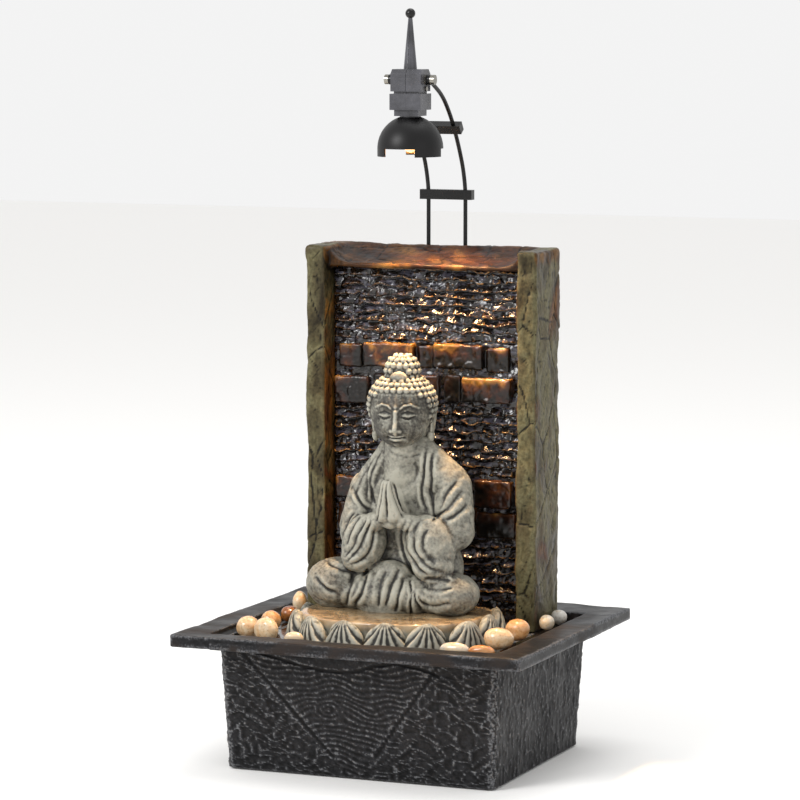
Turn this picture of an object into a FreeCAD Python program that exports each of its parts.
import FreeCAD
import Part
import math
import os
import re

from FreeCAD import Placement, Rotation, Vector

# Tabletop cascade fountain. Millimetres, +Z up, the front faces -Y, and the origin is under the
# middle of the basin, on the surface that its rubber feet stand on.
# A pump in the basin pushes water up a riser inside the wall and into a trough; it spills over the
# cascade panel, runs through slots in the deck and falls back into the basin.

doc = FreeCAD.newDocument("Fountain")
sheet = doc.addObject("Spreadsheet::Sheet", "Sizes")

DRIVING = """
foot_standout 0.6    gap between the table and the basin's underside
foot_radius 6        rubber foot
foot_height 2.6      rubber foot, most of it sunk in the basin
foot_inset 14        foot centre from the basin's corner
base_width 150.2     basin at its underside, left to right
base_depth 127.6     basin at its underside, front to back
base_flare 3.3       each side leans out by this much up to the rim
basin_height 73.4    top of the rim
basin_wall 7         thickness of the basin's side walls
basin_floor 4.4      thickness of the basin's floor
rim_thick 7.1        thickness of the flat rim
rim_overhang 19.2    rim beyond the top of the basin's walls
rim_side 17.6        rim border left and right of the tray
rim_front 13.3       rim border in front of the tray
rim_back 28.3        rim border behind the tray
rim_lip 3            depth of the step inside the rim
step_side 5          width of that step, left and right
step_front 9         width of that step in front
tray_lip 6           rim above the deck
back_ledge 6         ledge under the deck's back edge
deck_thick 2         deck plate
fit_gap 0.3          clearance around seated plates
thin_gap 0.15        clearance between small seated pieces
running_gap 0.05     radial clearance of sliding and turning fits
seam_gap 0.1         half of the seam between the lamp's half shells
access_width 60      opening in the deck under the plinth
access_front 46      front edge of that opening, ahead of the middle
access_back 4        back edge of that opening, ahead of the middle
drain_length 40      drain slots beside the plinth, front to back
drain_width 3        drain slots, left to right
wall_width 132       cascade wall, left to right
wall_front 19.7      front face of its columns
wall_back 57.2       its back face
wall_top 270         top of the wall
column_width 11      each column
lintel_front 26      front edge of the lintel
lintel_low 258.5     underside of the lintel
lintel_edge 4        height of the lintel's front edge
sill_height 3.6      cross rail at the foot of the wall
dowel_radius 2       dowels that tie the columns to the deck
dowel_depth 10       dowel inside the basin's rib and inside the column
panel_front 32       flat face of the cascade panel
panel_thick 3        cascade panel
panel_top 255        weir edge at the top of the panel
ledge_reach 4        how far the slate ledges stand out
ledge_height 2.6     one slate ledge
ledge_pitch 4.6      from ledge to ledge
ledge_count 8        ledges in one field
upper_field 219.5    lowest ledge of the top field
middle_field 149.5   lowest ledge of the middle field
lower_field 77.5     lowest ledge of the bottom field
brick_length 29      one brick
brick_height 13.5    one brick
brick_pitch 39.5     from proud brick to proud brick
brick_shift 2.7      the pattern sits a little left of the middle
brick_reach 6.5      how far the proud bricks stand out
brick_low_reach 3    how far the bricks between them stand out
course_one 205.5     underside of the top course
course_two 187       underside of the next course
course_three 131.5   underside of the third course
course_four 114.5    underside of the lowest course
cover_thick 3        back cover
lug_height 8         lugs that take the back cover's screws
lug_width 6          lugs, left to right
lug_depth 8          lugs, front to back
lug_low 80           underside of the lower lugs
lug_high 226         underside of the upper lugs
screw_radius 1.25    back cover screws
screw_head 2.5       radius of their heads
screw_head_thick 1.2 thickness of their heads
screw_length 7       their shanks
trough_low 247       underside of the spill trough
trough_height 11     spill trough
trough_wall 1.5      its walls
trough_lip 8.5       height of its front wall, where the water spills
shelf_thick 2        rails that carry the trough
riser_place 42       riser centre, behind the middle
riser_radius 4.5     riser tube outside
riser_bore 3         riser tube inside
clip_thick 2         clip that holds the riser
clip_height 6        clip
clip_place 170       underside of the clip
pump_width 34        pump housing, left to right
pump_back 46         back face of the housing
pump_length 36       housing, front to back
pump_low 8.5         its underside
pump_height 28       housing
cup_radius 4         suction cup
cup_inset 7          suction cup centre from the housing's corner
pump_cover 3.6       intake cover
intake_slot 1.6      one intake slot
slot_pitch 4         from slot to slot
slot_count 5         intake slots
chamber_radius 9.5   impeller chamber
chamber_depth 7      impeller chamber
rotor_radius 6       rotor magnet
rotor_length 20      rotor magnet
blade_count 6        impeller blades
blade_reach 8.6      tip of a blade from the shaft
blade_thick 1.2      one blade
blade_depth 4.6      blade along the shaft
shaft_radius 1.15    ceramic shaft
shaft_length 34      ceramic shaft
seal_radius 0.8      half of the seal ring's section
seal_place 12.4      seal ring radius
regulator_width 8    flow regulator
regulator_height 6   flow regulator
regulator_thick 1.4  flow regulator
regulator_travel 5   how far it slides
nozzle_flange 5      outlet nozzle, radius of its flange
nozzle_spigot 8      outlet nozzle, length in the riser
nozzle_bore 2        outlet nozzle bore
gland_side 42        gland, right of the middle
gland_drop 23.4      gland below the top of the rim
gland_radius 5       gland body
gland_flange 8       gland's outer flange and its nut
gland_bore 2.7       cord passage
gland_flange_thick 3 outer flange and nut
lead_radius 0.8      lamp leads
lead_side 14         lamp leads from the middle
lead_depth 50.5      lamp leads behind the middle
plinth_width 114     lotus plinth over its petals
plinth_reach 49      petal ring, front to its centre
plinth_centre -12    centre of the petal ring
plinth_back 17       flat back of the plinth
plinth_top 80.5      flat top of the plinth
petal_tip 82         tips of the petals
petal_width 22       one petal
petal_thick 7        one petal
petal_first 15       direction of the first petal
petal_step 25.5      from petal to petal
petal_count 5        petals on each side
figure_height 136.5  seated figure above the plinth
figure_width 97      over its knees
figure_depth 40      front to back
figure_place -5     centre of its lap
figure_turn 0        angle it is turned by
rod_radius 1.1       lamp rods
rod_side 10.7        lamp rods from the middle
rod_place 59.4       lamp rods behind the middle
rod_foot 188         their lower ends
rod_bend 300         where they leave the vertical
socket_width 32      mast sockets
socket_depth 5.6     mast sockets, behind the wall
socket_height 11     mast sockets
socket_low 212       lower socket
socket_high 243      upper socket
spacer_width 30      bars that keep the rods apart
spacer_depth 4.4     bars, front to back
spacer_height 5.3    bars
spacer_low 297       centre of the lower bar
pivot_place 7        lamp pivot behind the middle
pivot_level 360      lamp pivot height
eye_radius 2.7       eyes at the rods' upper ends
pivot_radius 1       shank of the pivot screws
pivot_grip 5         pivot screws inside the head
pivot_head 2.65      heads of the pivot screws
pivot_head_thick 2.2 heads of the pivot screws
head_width 17.2      lamp head
head_depth 13.5      lamp head
head_low 353.9       underside of the lamp head
head_high 365.5      top of the lamp head
head_bevel 2.4       bevels of its top
groove_height 1.2    groove under the head
groove_inset 1.4     groove's depth
collar_width 17.6    collar under the groove
collar_depth 15      collar
collar_height 8.5    collar
neck_width 13.6      neck between the collar and the shade
neck_depth 12        neck
neck_height 3.2      neck
spigot_radius 5.6    neck inside the shade
spigot_length 2.6    neck inside the shade
finial_radius 3.55   foot of the finial
finial_tip 1.05      top of the finial
finial_height 27.3   finial
finial_seat 0.8      finial inside the ball
ball_radius 2.65     ball on the finial
shade_radius 17.4    hemispherical shade
shade_wall 1         shade
shade_level 324      its equator
shade_skirt 4.2      straight skirt under the equator
notch_angle 60       notches in the skirt
notch_count 3        notches in the skirt
holder_radius 4.5    lamp holder
holder_low 333       underside of the lamp holder
holder_height 15     lamp holder
capsule_radius 4     halogen capsule
capsule_height 11    halogen capsule
pin_radius 0.4       its pins
pin_side 2           its pins from the middle
pin_length 6         its pins
set_screw_head 1.3   terminal screw
set_screw_drop 4.7   terminal screw below the pivot
"""

ALIASES = []
for row, line in enumerate(DRIVING.strip().splitlines(), start=1):
    alias, number, note = line.split(maxsplit=2)
    sheet.set(f"A{row}", note)
    sheet.set(f"B{row}", number)
    sheet.setAlias(f"B{row}", alias)
    ALIASES.append(alias)
doc.recompute()

NODES = []


# --- helpers -------------------------------------------------------------------------------------

def size(alias):
    """The number that a cell of the sheet holds."""
    return float(sheet.get(alias))


def bind(item, prop, text):
    """Bind a property to an expression written with the sheet's aliases."""
    words = re.sub(r"[a-z_]+", lambda word: "Sizes." + word[0] if word[0] in ALIASES else word[0], text)
    item.setExpression(prop, words)


def place(item, across, back, up, turn=None):
    """Bind an item's position, after giving it its direction."""
    if turn:
        item.Placement = Placement(Vector(), turn)
    for prop, text in (("x", across), ("y", back), ("z", up)):
        bind(item, f"Placement.Base.{prop}", text)
    return item


def primitive(kind, name, **sizes):
    item = doc.addObject(f"Part::{kind}", name)
    for prop, text in sizes.items():
        bind(item, prop, text)
    return item


def block(name, across, back, up, wide, deep, tall):
    """A box from its low corner."""
    return place(primitive("Box", name, Length=wide, Width=deep, Height=tall), across, back, up)


def bar(name, back, up, wide, deep, tall):
    """A box centred left to right."""
    return block(name, f"-({wide}) / 2", back, up, wide, deep, tall)


TURNS = {
    "+Z": Rotation(),
    "+X": Rotation(Vector(0, 1, 0), 90),
    "-X": Rotation(Vector(0, 1, 0), -90),
    "+Y": Rotation(Vector(1, 0, 0), -90),
}


def rod(name, across, back, up, radius, length, way="+Z"):
    """A cylinder from the middle of its first end."""
    return place(primitive("Cylinder", name, Radius=radius, Height=length), across, back, up, TURNS[way])


def ball(name, across, back, up, radius):
    return place(primitive("Sphere", name, Radius=radius), across, back, up)


def egg(name, across, back, up, wide, deep, tall, turn=None):
    """An ellipsoid from its centre and its three half sizes."""
    item = primitive("Ellipsoid", name, Radius1=tall, Radius2=wide, Radius3=deep)
    return place(item, across, back, up, turn)


def fuse(name, items):
    item = doc.addObject("Part::MultiFuse", name)
    item.Shapes = items
    return item


def cut(name, base, tools):
    item = doc.addObject("Part::Cut", name)
    item.Base = base
    item.Tool = tools[0] if len(tools) == 1 else fuse(name + "_tools", tools)
    return item


def group(name, items):
    """Separate solids of one kind, kept in one node."""
    item = doc.addObject("Part::Compound", name)
    item.Links = items
    return item


def node(label, item):
    item.Label = label
    NODES.append(item)
    return item


def rounded_wire(points):
    """Straight runs joined by tangent arcs, each as large as its two runs allow."""
    edges = []
    start = points[0]
    for before, corner, after in zip(points, points[1:], points[2:]):
        back, ahead = (before - corner), (after - corner)
        half = (math.pi - back.getAngle(ahead)) / 2
        reach = 0.45 * min(back.Length, ahead.Length)
        back.normalize()
        ahead.normalize()
        inward = (back + ahead).normalize()
        bulge = reach / math.tan(half) * (1 / math.cos(half) - 1)
        first, last = corner + back * reach, corner + ahead * reach
        edges.append(Part.makeLine(start, first))
        edges.append(Part.Arc(first, corner + inward * bulge, last).toShape())
        start = last
    edges.append(Part.makeLine(start, points[-1]))
    return Part.Wire(edges)


def tube_along(points, radius):
    """A round bar along a rounded wire."""
    wire = rounded_wire(points)
    direction = points[1] - points[0]
    section = Part.Wire([Part.makeCircle(radius, points[0], direction)])
    return wire.makePipeShell([section], True, True)


# --- basin ---------------------------------------------------------------------------------------
# Two resin castings. The lower one has four walls that lean outward and two ribs inside that carry
# the wall's columns; the upper one is a wide flat rim that is bonded on, with a step for the deck.

def wedge(name, wide, deep, up, flare_wide, flare_deep, tall, back="0"):
    """A block about the middle that grows by the two flares on each side towards its top."""
    item = doc.addObject("Part::Wedge", name)
    for prop, text in (
        ("Xmin", f"-({wide}) / 2"), ("Xmax", f"({wide}) / 2"),
        ("Zmin", f"-({deep}) / 2"), ("Zmax", f"({deep}) / 2"),
        ("X2min", f"-({wide}) / 2 - ({flare_wide})"), ("X2max", f"({wide}) / 2 + ({flare_wide})"),
        ("Z2min", f"-({deep}) / 2 - ({flare_deep})"), ("Z2max", f"({deep}) / 2 + ({flare_deep})"),
        ("Ymax", tall),
    ):
        bind(item, prop, text)
    return place(item, "0", back, up, Rotation(Vector(1, 0, 0), 90))


RIM_WIDE = "(base_width + 2 * base_flare + 2 * rim_overhang)"
RIM_DEEP = "(base_depth + 2 * base_flare + 2 * rim_overhang)"
RIM_LOW = "(basin_height - rim_thick)"
MOUTH_WIDE = f"({RIM_WIDE} - 2 * rim_side)"
MOUTH_FRONT = f"(-{RIM_DEEP} / 2 + rim_front)"
MOUTH_DEEP = f"({RIM_DEEP} - rim_front - rim_back)"
TRAY_WIDE = f"({MOUTH_WIDE} - 2 * step_side)"
TRAY_FRONT = f"({MOUTH_FRONT} + step_front)"
TRAY_DEEP = f"({MOUTH_DEEP} - step_front)"
TRAY_BACK = f"({RIM_DEEP} / 2 - rim_back)"
DECK_LOW = "(basin_height - tray_lip - deck_thick)"
GLAND_UP = "(basin_height - gland_drop)"
DECK_TOP = "(basin_height - tray_lip)"
HOLLOW_WIDE = "(base_width - 2 * basin_wall)"
HOLLOW_FRONT = "(-base_depth / 2 + basin_wall)"
HOLLOW_BACK = f"({TRAY_BACK} - back_ledge)"
HOLLOW_LOW = "(foot_standout + basin_floor)"
COLUMN_IN = "(wall_width / 2 - column_width)"
FOOT_LOW = "(foot_standout + foot_height)"

hollow = cut("basin_hollow", bar("hollow_block", HOLLOW_FRONT, HOLLOW_LOW, HOLLOW_WIDE,
                                 f"{HOLLOW_BACK} - {HOLLOW_FRONT}", "basin_height"), [
    block(f"rib_{side}", text, "wall_front", HOLLOW_LOW, f"{HOLLOW_WIDE} / 2 - {COLUMN_IN} + 1",
          f"{HOLLOW_BACK} - wall_front + 1", "basin_height")
    for side, text in (("left", f"-{HOLLOW_WIDE} / 2 - 1"), ("right", COLUMN_IN))
])


def corners(name, across, back, up, radius, tall):
    """Four upright cylinders, one near each corner of a rectangle about the origin."""
    return [
        rod(f"{name}_{column}{line}", f"{column} * ({across})", f"{line} * ({back})", up, radius, tall)
        for column in (-1, 1) for line in (-1, 1)
    ]


def dowels(name, radius, low, tall):
    return [
        rod(f"{name}_{side}", f"{side} * (wall_width - column_width) / 2", "(wall_front + wall_back) / 2",
            low, radius, tall)
        for side in (-1, 1)
    ]


FOOT_ACROSS, FOOT_BACK = "base_width / 2 - foot_inset", "base_depth / 2 - foot_inset"
DOWEL_LOW = f"{DECK_LOW} - dowel_depth"
DOWEL_TALL = "2 * dowel_depth + deck_thick"
GLAND_IN = f"({HOLLOW_BACK})"
GLAND_OUT = "(base_depth / 2 + base_flare)"

TRAY = (TRAY_FRONT, DECK_LOW, TRAY_WIDE, TRAY_DEEP, "basin_height")
node("basin", cut("basin_cut", wedge("basin_walls", "base_width", "base_depth", "foot_standout",
                                     "base_flare", "base_flare", f"{RIM_LOW} - foot_standout"), [
    hollow,
    bar("wall_tray", *TRAY),
    rod("gland_hole", "gland_side", GLAND_IN + " - 1", GLAND_UP, "gland_radius",
        "base_depth / 2", "+Y"),
    *corners("foot_pocket", FOOT_ACROSS, FOOT_BACK, "foot_standout - 1", "foot_radius",
             "foot_height - foot_standout + 1"),
    *dowels("rib_hole", "dowel_radius + running_gap", DOWEL_LOW, DOWEL_TALL),
]))

node("basin_rim", cut("rim_cut", bar("rim_slab", f"-{RIM_DEEP} / 2", RIM_LOW, RIM_WIDE, RIM_DEEP,
                                     "rim_thick"), [
    bar("mouth", MOUTH_FRONT, "basin_height - rim_lip", MOUTH_WIDE, MOUTH_DEEP, "basin_height"),
    bar("rim_tray", *TRAY),
]))

node("rubber_feet", group("feet", corners("foot", FOOT_ACROSS, FOOT_BACK, "0", "foot_radius - thin_gap",
                                          "foot_height")))

# The cord leaves through a gland: a flanged sleeve from outside and a nut from inside.
node("cord_gland", cut("gland", fuse("gland_body", [
    rod("gland_sleeve", "gland_side", GLAND_IN + " - gland_flange_thick", GLAND_UP,
        "gland_radius - thin_gap", f"{GLAND_OUT} - {GLAND_IN} + gland_flange_thick", "+Y"),
    rod("gland_head", "gland_side", GLAND_OUT, GLAND_UP, "gland_flange",
        "gland_flange_thick", "+Y"),
]), [rod("gland_bore_hole", "gland_side", "0", GLAND_UP, "gland_bore", "base_depth", "+Y")]))

node("gland_nut", cut("gland_nut_ring", rod(
    "gland_nut_disc", "gland_side", GLAND_IN + " - gland_flange_thick + thin_gap", GLAND_UP,
    "gland_flange", "gland_flange_thick - 2 * thin_gap", "+Y"), [
    rod("gland_nut_hole", "gland_side", GLAND_IN + " - gland_flange_thick - 1", GLAND_UP,
        "gland_radius - thin_gap + running_gap", "base_depth", "+Y")]))

# --- deck ----------------------------------------------------------------------------------------
# A plate that lies in the tray. It carries the wall, the plinth and the pebbles, and it has an
# opening over the pump, drain slots, a long slot under the cascade and a hole for the riser.

PANEL_BACK = "(panel_front + panel_thick)"
NICHE = f"(2 * {COLUMN_IN})"
LEADS = [("left", "-lead_side"), ("right", "lead_side")]

node("deck", cut("deck_cut", bar("deck_plate", TRAY_FRONT + " + fit_gap", DECK_LOW,
                                 TRAY_WIDE + " - 2 * fit_gap", TRAY_DEEP + " - 2 * fit_gap", "deck_thick"), [
    bar("access", "-access_front", DECK_LOW + " - 1", "access_width", "access_front - access_back",
        "deck_thick + 2"),
    bar("cascade_slot", "wall_front + 2", DECK_LOW + " - 1", NICHE + " - 8",
        "panel_front - wall_front - 3", "deck_thick + 2"),
    rod("deck_riser_hole", "0", "riser_place", DECK_LOW + " - 1", "riser_radius + fit_gap",
        "deck_thick + 2"),
    *[rod(f"deck_lead_hole_{side}", text, "lead_depth", DECK_LOW + " - 1", "lead_radius + fit_gap",
          "deck_thick + 2") for side, text in LEADS],
    *[block(f"drain_{side}{line}", f"{side} * (plinth_width / 2 + 8 + {line} * 7) - drain_width / 2",
            "-drain_length / 2", DECK_LOW + " - 1", "drain_width", "drain_length", "deck_thick + 2")
      for side in (-1, 1) for line in (0, 1)],
    *dowels("deck_hole", "dowel_radius + running_gap", DECK_LOW + " - 1", "deck_thick + 2"),
]))

node("wall_dowels", group("dowel_pair", dowels("dowel", "dowel_radius", DOWEL_LOW, DOWEL_TALL)))

# --- wall ----------------------------------------------------------------------------------------
# The frame is two columns and a lintel that slopes down to the front, with a rail at its foot, rails
# that carry the trough, and lugs for the screws of the back cover.

WALL_DEEP = "(wall_back - wall_front)"
COVER_IN = "(wall_back - cover_thick)"
TROUGH_FRONT = f"({PANEL_BACK} + fit_gap)"
TROUGH_BACK = f"({COVER_IN} - fit_gap)"

lintel = doc.addObject("Part::Wedge", "lintel")
for prop, text in (
    ("Xmin", f"-{COLUMN_IN}"), ("Xmax", COLUMN_IN), ("X2min", f"-{COLUMN_IN}"), ("X2max", COLUMN_IN),
    ("Zmin", "0"), ("Zmax", "lintel_edge"), ("Z2min", "0"), ("Z2max", "wall_top - lintel_low"),
    ("Ymax", "wall_back - lintel_front"),
):
    bind(lintel, prop, text)
place(lintel, "0", "lintel_front", "lintel_low")

columns, rails, lugs = [], [], []
for side, edge in ((-1, "-wall_width / 2"), (1, COLUMN_IN)):
    columns.append(block(f"column_{side}", edge, "wall_front", DECK_TOP, "column_width", WALL_DEEP,
                         f"wall_top - {DECK_TOP}"))
    rails.append(block(f"trough_rail_{side}", f"{side} * ({COLUMN_IN} - 1.5) - 1.5", TROUGH_FRONT,
                       "trough_low - shelf_thick", "3", f"{TROUGH_BACK} - {TROUGH_FRONT}", "shelf_thick"))
    for level in ("lug_low", "lug_high"):
        lugs.append(block(f"{level}_{side}", f"{side} * ({COLUMN_IN} - lug_width / 2) - lug_width / 2",
                          f"{COVER_IN} - lug_depth", level, "lug_width", "lug_depth", "lug_height"))


def cover_screws(name, radius, low, length):
    """Four rods along +Y, one in the middle of each lug."""
    return [
        rod(f"{name}_{side}_{level}", f"{side} * ({COLUMN_IN} - lug_width / 2)", low,
            f"{level} + lug_height / 2", radius, length, "+Y")
        for side in (-1, 1) for level in ("lug_low", "lug_high")
    ]


SHANK_START = f"({COVER_IN} + cover_thick - screw_length)"
node("wall_frame", cut("wall_frame_cut", fuse("wall_frame_solid", [
    *columns, lintel, *rails, *lugs,
    bar("sill", f"{PANEL_BACK} + fit_gap", DECK_TOP, NICHE, f"wall_back - {PANEL_BACK} - fit_gap",
        "sill_height"),
]), [
    rod("sill_riser_hole", "0", "riser_place", DECK_TOP + " - 1", "riser_radius + fit_gap",
        "sill_height + 2"),
    *[rod(f"sill_lead_hole_{side}", text, "lead_depth", DECK_TOP + " - 1", "lead_radius + fit_gap",
          "sill_height + 2") for side, text in LEADS],
    *dowels("column_hole", "dowel_radius + running_gap", DECK_TOP + " - 1", "dowel_depth + 1"),
    *cover_screws("lug_hole", "screw_radius + running_gap", SHANK_START + " - 0.5", "screw_length"),
]))

# The cascade panel: three fields of thin slate ledges with two courses of bricks between them.
PANEL_WIDE = f"({NICHE} - 2 * fit_gap)"
PANEL_LOW = DECK_TOP
relief = [bar("panel_plate", "panel_front", PANEL_LOW, PANEL_WIDE, "panel_thick", f"panel_top - {PANEL_LOW}")]
for field in ("upper_field", "middle_field", "lower_field"):
    for step in range(int(size("ledge_count"))):
        relief.append(bar(f"ledge_{field}_{step}", "panel_front - ledge_reach",
                          f"{field} + {step} * ledge_pitch", PANEL_WIDE, "ledge_reach + 1", "ledge_height"))
for course, steps in (("course_one", (-0.5, 0.5)), ("course_two", (-1, 0, 1)),
                      ("course_three", (-1, 0, 1)), ("course_four", (-1, 0, 1))):
    relief.append(bar(f"bed_{course}", "panel_front - brick_low_reach", course, PANEL_WIDE + " - 6",
                      "brick_low_reach + 1", "brick_height"))
    for step in steps:
        wide = "brick_length" if abs(step) == 0.5 else "brick_length * 0.78"
        relief.append(block(f"brick_{course}_{int(step * 2)}", f"{step} * brick_pitch * 0.98 - brick_shift - {wide} / 2",
                            "panel_front - brick_reach", course, wide, "brick_reach + 1",
                            "brick_height"))
node("cascade_panel", fuse("cascade_relief", relief))

LEAD_SLOT_LOW = "(socket_high - 3)"
COVER_LOW = f"({DECK_TOP} + sill_height + fit_gap)"
node("wall_back_cover", cut("cover_cut", bar(
    "cover_plate", COVER_IN, COVER_LOW, f"{NICHE} - 2 * fit_gap", "cover_thick",
    f"lintel_low - {COVER_LOW} - fit_gap"), [
    *[block(f"lead_slot_{side}", f"{text} - 2", COVER_IN + " - 1", LEAD_SLOT_LOW, "4", "cover_thick + 2", "10")
      for side, text in LEADS],
    *cover_screws("cover_hole", "screw_radius + running_gap", COVER_IN + " - 1", "cover_thick + 2"),
]))

screws = []
for shank, head in zip(cover_screws("cover_shank", "screw_radius", SHANK_START, "screw_length"),
                       cover_screws("cover_head", "screw_head", "wall_back", "screw_head_thick")):
    screws.append(fuse("cover_" + shank.Name + "_screw", [shank, head]))
node("back_cover_screws", group("cover_screw_group", screws))

# --- water path ----------------------------------------------------------------------------------

trough_wide = f"({NICHE} - 2 * fit_gap)"
trough_deep = f"({TROUGH_BACK} - {TROUGH_FRONT})"
node("spill_trough", cut("trough_cut", bar("trough_block", TROUGH_FRONT, "trough_low", trough_wide,
                                           trough_deep, "trough_height"), [
    bar("trough_inside", f"{TROUGH_FRONT} + trough_wall", "trough_low + trough_wall",
        f"{trough_wide} - 2 * trough_wall", f"{trough_deep} - 2 * trough_wall", "trough_height"),
    bar("trough_spill", f"{TROUGH_FRONT} - 1", "trough_low + trough_lip",
        f"{trough_wide} - 2 * trough_wall", "trough_wall + 2", "trough_height"),
    rod("trough_hole", "0", "riser_place", "trough_low - 1", "riser_radius + running_gap",
        "trough_wall + 2"),
]))

RISER_LOW = "(pump_low + pump_height + 2 + thin_gap)"
RISER_TALL = f"(trough_low + trough_lip - 2 - {RISER_LOW})"
node("riser_tube", cut("riser_cut", rod("riser_outside", "0", "riser_place", RISER_LOW, "riser_radius",
                                        RISER_TALL), [
    rod("riser_inside", "0", "riser_place", RISER_LOW + " - 1", "riser_bore", RISER_TALL + " + 2")]))

node("riser_clip", cut("clip_cut", fuse("clip_body", [
    rod("clip_ring", "0", "riser_place", "clip_place", "riser_radius + clip_thick", "clip_height"),
    bar("clip_foot", "riser_place", "clip_place", "14", f"{COVER_IN} - riser_place", "clip_height"),
]), [
    rod("clip_hole", "0", "riser_place", "clip_place - 1", "riser_radius + running_gap",
        "clip_height + 2"),
    bar("clip_mouth", f"{PANEL_BACK}", "clip_place - 1", "2 * riser_radius - 2",
        f"riser_place - {PANEL_BACK}", "clip_height + 2"),
]))

# --- pump ----------------------------------------------------------------------------------------
# A small immersed pump on suction cups: housing, intake cover, seal ring, magnetic rotor with its
# blades on a ceramic shaft, a sliding flow regulator and a nozzle that the riser is pushed on.

PUMP_FRONT = "(pump_back - pump_length)"
AXIS_UP = "(pump_low + pump_height / 2)"
CHAMBER = "(pump_back - chamber_depth)"


def along(name, start, radius, length):
    """A cylinder on the impeller's axis, along +Y."""
    return rod(name, "0", start, AXIS_UP, radius, length, "+Y")


def seal_ring(name, clearance):
    """A flat ring let into the housing's back face."""
    start = f"pump_back - 2 * (seal_radius + {clearance})"
    length = f"2 * (seal_radius + {clearance})"
    return cut(name, along(name + "_outside", start, f"seal_place + seal_radius + {clearance}", length), [
        along(name + "_inside", start + " - 1", f"seal_place - seal_radius - {clearance}", length + " + 2")])


node("pump_housing", cut("pump_cut", bar("pump_block", PUMP_FRONT, "pump_low", "pump_width",
                                         "pump_length", "pump_height"), [
    along("pump_chamber", CHAMBER, "chamber_radius", "chamber_depth + 1"),
    along("rotor_bore", f"{CHAMBER} - rotor_length - 1", "rotor_radius + 0.6", "rotor_length + 2"),
    along("shaft_seat", f"{CHAMBER} - rotor_length - 6", "shaft_radius + running_gap", "rotor_length"),
    rod("outlet_bore", "0", "riser_place", AXIS_UP, "nozzle_bore", "pump_height"),
    seal_ring("seal_groove", "running_gap"),
]))

node("pump_seal_ring", seal_ring("seal", "0"))

node("pump_intake_cover", cut("intake_cut", bar("intake_plate", "pump_back + running_gap", "pump_low",
                                                "pump_width", "pump_cover", "pump_height"), [
    *[bar(f"intake_{step}", "pump_back - 1", f"{AXIS_UP} - 12 + {step} * slot_pitch", "16",
          "pump_cover + 2", "intake_slot") for step in range(int(size("slot_count"))) if step != 3],
    along("cover_shaft_seat", "pump_back - 1", "shaft_radius + running_gap", "2.5"),
]))

BLADE_START = f"({CHAMBER} + 1)"
blades = [along("rotor_magnet", f"{CHAMBER} - rotor_length", "rotor_radius", "rotor_length + 1")]
for step in range(int(size("blade_count"))):
    blade = doc.addObject("Part::Box", f"blade_{step}")
    for prop, text in (("Length", "blade_reach"), ("Width", "blade_depth"), ("Height", "blade_thick")):
        bind(blade, prop, text)
    turn = Rotation(Vector(0, 1, 0), step * 360 / size("blade_count"))
    place(blade, "0", BLADE_START, AXIS_UP, turn)
    blades.append(blade)
node("pump_impeller", cut("impeller_cut", fuse("impeller_solid", blades), [
    along("impeller_bore", "0", "shaft_radius + running_gap", "2 * pump_back")]))

node("impeller_shaft", along("shaft", f"pump_back + 1.3 - shaft_length", "shaft_radius", "shaft_length"))

REGULATOR_LOW = f"({AXIS_UP} + 1.5)"
node("flow_regulator", bar("regulator", "pump_back + pump_cover + thin_gap", REGULATOR_LOW,
                           "regulator_width", "regulator_thick", "regulator_height"))

NOZZLE_LOW = "(pump_low + pump_height)"
node("outlet_nozzle", cut("nozzle_cut", fuse("nozzle_body", [
    rod("nozzle_disc", "0", "riser_place", NOZZLE_LOW, "nozzle_flange", "2"),
    rod("nozzle_spigot_rod", "0", "riser_place", NOZZLE_LOW, "riser_bore - running_gap",
        "nozzle_spigot + 2"),
]), [rod("nozzle_bore_rod", "0", "riser_place", NOZZLE_LOW + " - 1", "nozzle_bore", "nozzle_spigot + 4")]))

CUP_FRONT, CUP_BACK = f"({PUMP_FRONT} + cup_inset)", "(pump_back - cup_inset)"
cups = []
for side in (-1, 1):
    for name, line in (("front", CUP_FRONT), ("back", CUP_BACK)):
        cup = primitive("Cone", f"cup_{name}_{side}", Radius1="cup_radius", Radius2="cup_radius / 2",
                        Height=f"pump_low - {HOLLOW_LOW}")
        cups.append(place(cup, f"{side} * (pump_width / 2 - cup_inset)", line, HOLLOW_LOW))
node("suction_cups", group("cup_group", cups))


# --- internal leads ------------------------------------------------------------------------------

def solid(label, shape):
    item = doc.addObject("Part::Feature", label + "_solid")
    item.Shape = shape
    return node(label, item)


hollow_back = (size("base_depth") / 2 + size("base_flare") + size("rim_overhang") - size("rim_back")
               - size("back_ledge"))
cover_in = size("wall_back") - size("cover_thick")
lead_low = size("basin_height") - size("tray_lip") - size("deck_thick") - 6
lead_high = size("socket_high") - 6
lead_runs = []
for side in (-1, 1):
    across = side * size("lead_side")
    lead_runs.append(tube_along([
        Vector(across, size("lead_depth"), lead_low),
        Vector(across, size("lead_depth"), lead_high),
        Vector(across, size("wall_back") - 1.2, lead_high + 9),
    ], size("lead_radius")))
solid("lamp_leads", Part.makeCompound(lead_runs))

pump_top = size("pump_low") + size("pump_height")
gland_up = size("basin_height") - size("gland_drop")
solid("pump_lead", tube_along([
    Vector(8, cover_in - 30, pump_top),
    Vector(8, cover_in - 30, pump_top + 9),
    Vector(24, cover_in - 24, gland_up + 2),
    Vector(size("gland_side"), cover_in - 14, gland_up),
    Vector(size("gland_side"), hollow_back - size("gland_flange_thick") - 0.4, gland_up),
], 1.6))

# --- plinth and figure ---------------------------------------------------------------------------
# The plinth is a plate with a ring of lotus petals around its front and sides; it lies on the deck
# over the opening to the pump, and lifts off with the figure.

centre = size("plinth_centre")
half_wide = size("plinth_width") / 2
half_deep = size("plinth_reach")
SQUARENESS = 2.6


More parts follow.
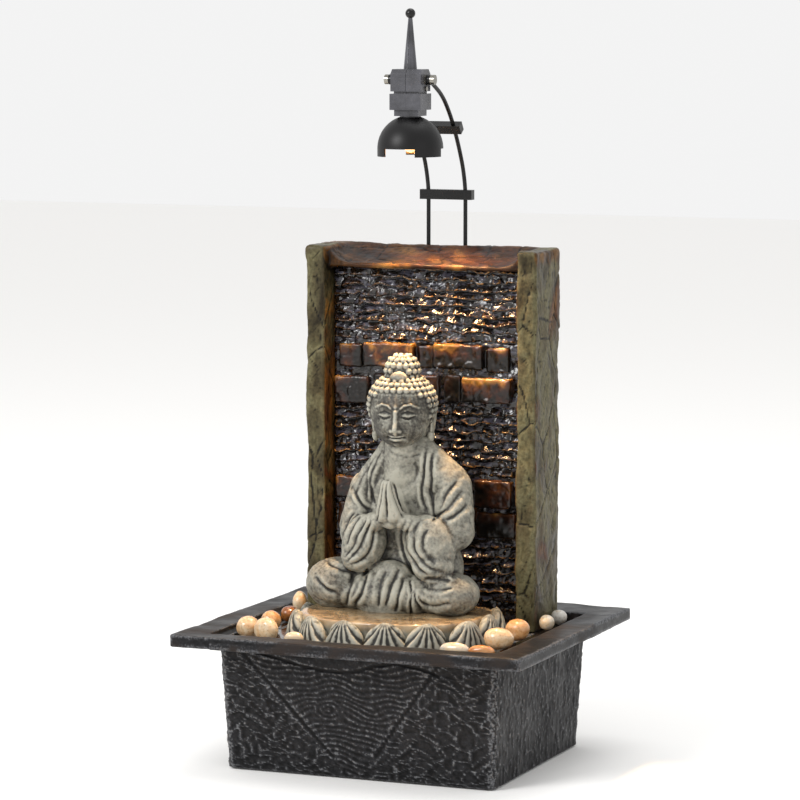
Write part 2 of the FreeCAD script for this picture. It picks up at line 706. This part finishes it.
def ring_point(angle, inset):
    """A point of the petal ring, by its direction from the ring's centre; 0 is straight ahead."""
    x, y = math.sin(angle), -math.cos(angle)
    wide, deep = half_wide - inset, half_deep - inset
    reach = ((abs(x) / wide) ** SQUARENESS + (abs(y) / deep) ** SQUARENESS) ** (-1 / SQUARENESS)
    return x * reach, centre + y * reach


deck_top = size("basin_height") - size("tray_lip")
plate_inset = size("petal_thick") - 1
outline = [Vector(*ring_point(math.radians(angle), plate_inset), deck_top) for angle in range(-126, 127, 6)]
plate_edge = Part.BSplineCurve()
plate_edge.interpolate(outline)
plate_wire = Part.Wire([plate_edge.toShape(), Part.makeLine(outline[-1], outline[0])])
plinth = Part.Face(plate_wire).extrude(Vector(0, 0, size("plinth_top") - deck_top))
petal_low = deck_top - 4


def lump(wide, deep, tall, middle, turn=0.0):
    """An ellipsoid with these half sizes, turned about its own upright axis."""
    stretch = FreeCAD.Matrix()
    stretch.scale(wide, deep, tall)
    shape = Part.makeSphere(1).transformGeometry(stretch)
    shape.rotate(Vector(), Vector(0, 0, 1), turn)
    shape.translate(middle)
    return shape


for side in (-1, 1):
    for step in range(int(size("petal_count"))):
        turn = (size("petal_first") + step * size("petal_step")) * side
        middle = Vector(*ring_point(math.radians(turn), size("petal_thick")), petal_low)
        plinth = plinth.fuse(lump(size("petal_width") / 2, size("petal_thick"),
                                  size("petal_tip") - petal_low, middle, turn))
below = Part.makeBox(300, 300, 50, Vector(-150, -150, deck_top - 50))
behind = Part.makeBox(300, 100, 100, Vector(-150, size("plinth_back"), deck_top - 10))
solid("lotus_plinth", plinth.cut(below).cut(behind))

# The figure sits cross-legged in a robe, with its palms together in front of its chest.
# Each line: across, back, up, and half sizes, as shares of the figure's width, depth and height.
FIGURE = {
    "lap": (0, 0, 0.085, 0.50, 0.50, 0.12),
    "feet": (0, -0.12, 0.05, 0.36, 0.38, 0.075),
    "hips": (0, 0.10, 0.17, 0.36, 0.40, 0.17),
    "trunk": (0, 0.12, 0.36, 0.30, 0.38, 0.27),
    "shoulders": (0, 0.12, 0.54, 0.305, 0.33, 0.085),
    "sleeve_left": (-0.26, -0.05, 0.30, 0.125, 0.34, 0.22),
    "sleeve_right": (0.26, -0.05, 0.30, 0.125, 0.34, 0.22),
    "cuffs": (0, -0.28, 0.31, 0.22, 0.20, 0.10),
    "hands": (0, -0.46, 0.44, 0.05, 0.14, 0.09),
    "neck": (0, 0.05, 0.62, 0.12, 0.24, 0.10),
    "head": (0, 0.02, 0.76, 0.175, 0.40, 0.165),
    "topknot": (0, 0.05, 0.93, 0.08, 0.17, 0.07),
}
wide, deep, tall = size("figure_width"), size("figure_depth"), size("figure_height")
figure = None
for across, back, up, half_w, half_d, half_t in FIGURE.values():
    middle = Vector(across * wide, size("figure_place") + back * deep, size("plinth_top") + up * tall)
    part = lump(half_w * wide, half_d * deep, half_t * tall, middle)
    figure = figure.fuse(part) if figure else part
seat = size("plinth_top")
figure = figure.cut(Part.makeBox(300, 300, 100, Vector(-150, -150, seat - 100)))
figure.rotate(Vector(0, size("figure_place"), 0), Vector(0, 0, 1), size("figure_turn"))
solid("seated_figure", figure)

# --- pebbles -------------------------------------------------------------------------------------
# Loose polished stones: across, back, width, depth, height, turn, and lift above the deck.
LEFT_PEBBLES = [
    (-69, -50, 12.5, 11.5, 11.6, 20, 0), (-55.5, -56, 14, 10, 12.6, -12, 0), (-66.5, -26, 11, 11, 11, 35, 0),
    (-38, -60.5, 10.5, 6, 7, 6, 0), (-70.6, 22, 8.4, 11, 12.5, 0, 1.5), (-69, 4, 10, 9, 9, 50, 0),
    (-70.8, 45, 7.6, 9, 8, 15, 0),
]
RIGHT_PEBBLES = [
    (52, -60.4, 16, 6.6, 7.5, 0, 0), (67, -60, 14.5, 7, 7, 0, 0), (69.5, -43, 16, 11.5, 11.6, 8, 1.8),
    (68.6, -13, 14, 12, 12, -20, 1.2), (71.6, 24, 8.6, 8, 8.2, 30, 1.5), (71.4, 43, 8.8, 8, 8.2, 10, 1.5),
    (68, -29.5, 9, 8, 8, 40, 0),
]
for label, stones in (("pebbles_left", LEFT_PEBBLES), ("pebbles_right", RIGHT_PEBBLES)):
    eggs = []
    for number, (across, back, wide, deep, tall, turn, lift) in enumerate(stones):
        eggs.append(egg(f"{label}_{number}", str(across), str(back), f"{DECK_TOP} + {tall / 2 + lift + 0.05}",
                        str(wide / 2), str(deep / 2), str(tall / 2), Rotation(Vector(0, 0, 1), turn)))
    node(label, group(label + "_group", eggs))

# --- lamp mast -----------------------------------------------------------------------------------
# Two rods slide in two sockets behind the wall, and bend forward to carry the lamp head. They are
# its conductors too, so plastic bars keep them apart.

reach = size("rod_place") - size("pivot_place")
rise = size("pivot_level") - size("rod_bend")
BEND = [(1, 0), (0.93, 0.20), (0.79, 0.42), (0.60, 0.655), (0.36, 0.855), (0, 1)]
CURVE = [Vector(0, size("pivot_place") + share * reach, size("rod_bend") + up * rise) for share, up in BEND]
ROUTE = [Vector(0, size("rod_place"), size("rod_foot"))] + CURVE
pivot = CURVE[-1]
for label, side in (("lamp_rod_left", -1), ("lamp_rod_right", 1)):
    across = Vector(side * size("rod_side"), 0, 0)
    shape = tube_along([point + across for point in ROUTE], size("rod_radius"))
    thick = Vector(size("rod_radius"), 0, 0)
    eye = Part.makeCylinder(size("eye_radius"), 2 * thick.x, pivot + across - thick, Vector(1, 0, 0))
    hole = Part.makeCylinder(size("pivot_radius") + size("running_gap"), 4 * thick.x,
                             pivot + across - thick * 2, Vector(1, 0, 0))
    solid(label, shape.fuse(eye).cut(hole))


def rod_holes(name, up, tall):
    return [rod(f"{name}_{side}", f"{side} * rod_side", "rod_place", up, "rod_radius + running_gap", tall)
            for side in (-1, 1)]


for label, level in (("mast_socket_lower", "socket_low"), ("mast_socket_upper", "socket_high")):
    body = bar(label + "_block", "wall_back", level, "socket_width", "socket_depth", "socket_height")
    node(label, cut(label + "_cut", body, rod_holes(label + "_hole", f"{level} - 1", "socket_height + 2")))

# Plastic bars on the rods: one square below the bend, one that leans with the rods half way up it.
low, high = CURVE[2], CURVE[3]
for label, middle, along_rods in (
    ("rod_spacer_lower", Vector(0, size("rod_place"), size("spacer_low")), Vector(0, 0, 1)),
    ("rod_spacer_upper", low + (high - low) * 0.6, high - low),
):
    wide, deep, tall = size("spacer_width"), size("spacer_depth"), size("spacer_height")
    spacer = Part.makeBox(wide, deep, tall, Vector(-wide / 2, -deep / 2, -tall / 2))
    spacer.Placement = Placement(middle, Rotation(Vector(0, 0, 1), along_rods))
    for side in (-1, 1):
        across = Vector(side * size("rod_side"), 0, 0)
        spacer = spacer.cut(tube_along([point + across for point in ROUTE],
                                       size("rod_radius") + size("running_gap")))
    solid(label, spacer)

# --- lamp head -----------------------------------------------------------------------------------
# Two half shells with a seam between them, each with half of the finial; a collar, a neck and a
# domed shade with three notches below them, and a holder with a halogen capsule inside.

HEAD_TALL = "(head_high - head_low)"
COLLAR_HIGH = "(head_low - groove_height)"
COLLAR_LOW = f"({COLLAR_HIGH} - collar_height)"
NECK_LOW = f"({COLLAR_LOW} - neck_height)"
HALF_HEAD = "(head_width / 2)"
HOLDER_BORE = "holder_radius + running_gap"


def upright(name, low_level, radius, tall):
    """A cylinder on the lamp's own axis."""
    return rod(name, "0", "pivot_place", low_level, radius, tall)


for label, side in (("head_shell_left", -1), ("head_shell_right", 1)):
    body = fuse(label + "_body", [
        bar(label + "_block", "pivot_place - head_depth / 2", "head_low", "head_width", "head_depth",
            f"{HEAD_TALL} - head_bevel"),
        wedge(label + "_roof", "head_width", "head_depth", "head_high - head_bevel", "0", "-head_bevel",
              "head_bevel", "pivot_place"),
        bar(label + "_foot", "pivot_place - head_depth / 2 + groove_inset", COLLAR_HIGH,
            "head_width - 2 * groove_inset", "head_depth - 2 * groove_inset", "groove_height + 1"),
        place(primitive("Cone", label + "_finial", Radius1="finial_radius", Radius2="finial_tip",
                        Height="finial_height"), "0", "pivot_place", "head_high"),
    ])
    other_half = "-head_width" if side > 0 else "-seam_gap"
    node(label, cut(label + "_cut", body, [
        block(label + "_other_half", other_half, "pivot_place - head_depth", f"{COLLAR_HIGH} - 1",
              "head_width + seam_gap", "2 * head_depth", f"{HEAD_TALL} + 2 * finial_height"),
        rod(label + "_pivot_hole", f"{side} * ({HALF_HEAD} - pivot_grip - 0.5)", "pivot_place", "pivot_level",
            "pivot_radius + running_gap", "pivot_grip + 2", "+X" if side > 0 else "-X"),
        upright(label + "_cavity", f"{COLLAR_HIGH} - 1", HOLDER_BORE, "groove_height + 3"),
    ]))

FINIAL_TOP = "(head_high + finial_height)"
node("finial_ball", cut("finial_ball_cut", ball(
    "finial_sphere", "0", "pivot_place", f"{FINIAL_TOP} + ball_radius - finial_seat", "ball_radius"), [
    upright("finial_ball_seat", f"{FINIAL_TOP} - ball_radius", "finial_tip + 2 * running_gap",
            "ball_radius")]))

node("shade_collar", cut("collar_cut", bar(
    "collar_block", "pivot_place - collar_depth / 2", COLLAR_LOW, "collar_width", "collar_depth",
    "collar_height"), [upright("collar_bore", f"{COLLAR_LOW} - 1", HOLDER_BORE, "collar_height + 2")]))

node("shade_neck", cut("neck_cut", fuse("neck_body", [
    bar("neck_block", "pivot_place - neck_depth / 2", NECK_LOW, "neck_width", "neck_depth", "neck_height"),
    upright("neck_spigot", f"{NECK_LOW} - spigot_length", "spigot_radius", "spigot_length + 1"),
]), [upright("neck_bore", f"{NECK_LOW} - spigot_length - 1", HOLDER_BORE,
             "neck_height + spigot_length + 2")]))

dome = place(primitive("Sphere", "dome", Radius="shade_radius"), "0", "pivot_place", "shade_level")
dome.Angle1 = 0
dome_inside = place(primitive("Sphere", "dome_inside", Radius="shade_radius - shade_wall"), "0",
                    "pivot_place", "shade_level")
notches = []
for step in range(int(size("notch_count"))):
    notch = primitive("Cylinder", f"notch_{step}", Radius="2 * shade_radius", Height="2 * shade_skirt",
                      Angle="notch_angle")
    middle_way = -90 + step * 360 / size("notch_count")
    turn = Rotation(Vector(0, 0, 1), middle_way - size("notch_angle") / 2)
    notches.append(place(notch, "0", "pivot_place", "shade_level - 2 * shade_skirt", turn))
node("lamp_shade", cut("shade_cut", fuse("shade_solid", [
    dome, upright("skirt", "shade_level - shade_skirt", "shade_radius", "shade_skirt")]), [
    dome_inside,
    upright("skirt_inside", "shade_level - shade_skirt - 1", "shade_radius - shade_wall",
            "shade_skirt + 1"),
    upright("shade_hole", "shade_level", "spigot_radius + running_gap", "2 * shade_radius"),
    *notches,
]))

node("lamp_holder", cut("holder_cut", upright("holder", "holder_low", "holder_radius", "holder_height"), [
    rod(f"holder_hole_{side}", f"{side} * pin_side", "pivot_place", "holder_low - 1",
        "pin_radius + running_gap", "pin_length + 1.5") for side in (-1, 1)]))

capsule_top = "(holder_low - thin_gap)"
node("halogen_capsule", fuse("capsule_solid", [
    upright("capsule", f"{capsule_top} - capsule_height + capsule_radius", "capsule_radius",
            "capsule_height - capsule_radius"),
    ball("capsule_end", "0", "pivot_place", f"{capsule_top} - capsule_height + capsule_radius",
         "capsule_radius"),
    *[rod(f"capsule_pin_{side}", f"{side} * pin_side", "pivot_place", f"{capsule_top} - 1", "pin_radius",
          "pin_length") for side in (-1, 1)],
]))

# Pivot screws clamp the rods' eyes to the head; a washer lies between each eye and the head.
WASHER_TALL = "(rod_side - rod_radius - head_width / 2 - 2 * running_gap)"
washers = []
for label, side, way in (("pivot_screw_left", -1, "-X"), ("pivot_screw_right", 1, "+X")):
    node(label, fuse(label + "_solid", [
        rod(label + "_shank", f"{side} * ({HALF_HEAD} - pivot_grip)", "pivot_place", "pivot_level",
            "pivot_radius", f"rod_side + rod_radius + 1 - {HALF_HEAD} + pivot_grip", way),
        rod(label + "_head", f"{side} * (rod_side + rod_radius + running_gap)", "pivot_place",
            "pivot_level", "pivot_head", "pivot_head_thick", way),
    ]))
    washers.append(cut(label + "_washer", rod(
        label + "_washer_disc", f"{side} * ({HALF_HEAD} + running_gap)", "pivot_place", "pivot_level",
        "pivot_head", WASHER_TALL, way), [
        rod(label + "_washer_hole", f"{side} * {HALF_HEAD}", "pivot_place", "pivot_level",
            "pivot_radius + running_gap", "4", way)]))
node("pivot_washers", group("washer_pair", washers))

node("terminal_screw", rod("terminal_head", HALF_HEAD, "pivot_place",
                           "pivot_level - set_screw_drop", "set_screw_head", "0.9", "+X"))

# --- checks and files ----------------------------------------------------------------------------

doc.recompute()
for item in doc.Objects:
    if "Invalid" in item.State or "Error" in item.State:
        raise SystemExit(f"{item.Label} did not build: {item.State}")
os.makedirs("parts", exist_ok=True)
for item in NODES:
    shape = item.Shape
    if shape.isNull() or not shape.isValid() or not shape.Solids:
        raise SystemExit(f"{item.Label} has no valid solid")
    shape.exportStep(f"parts/{item.Label}.step")
    print(f"{item.Label}: {len(shape.Solids)} solid(s), {shape.Volume:.0f} mm3")
print(len(NODES), "nodes")
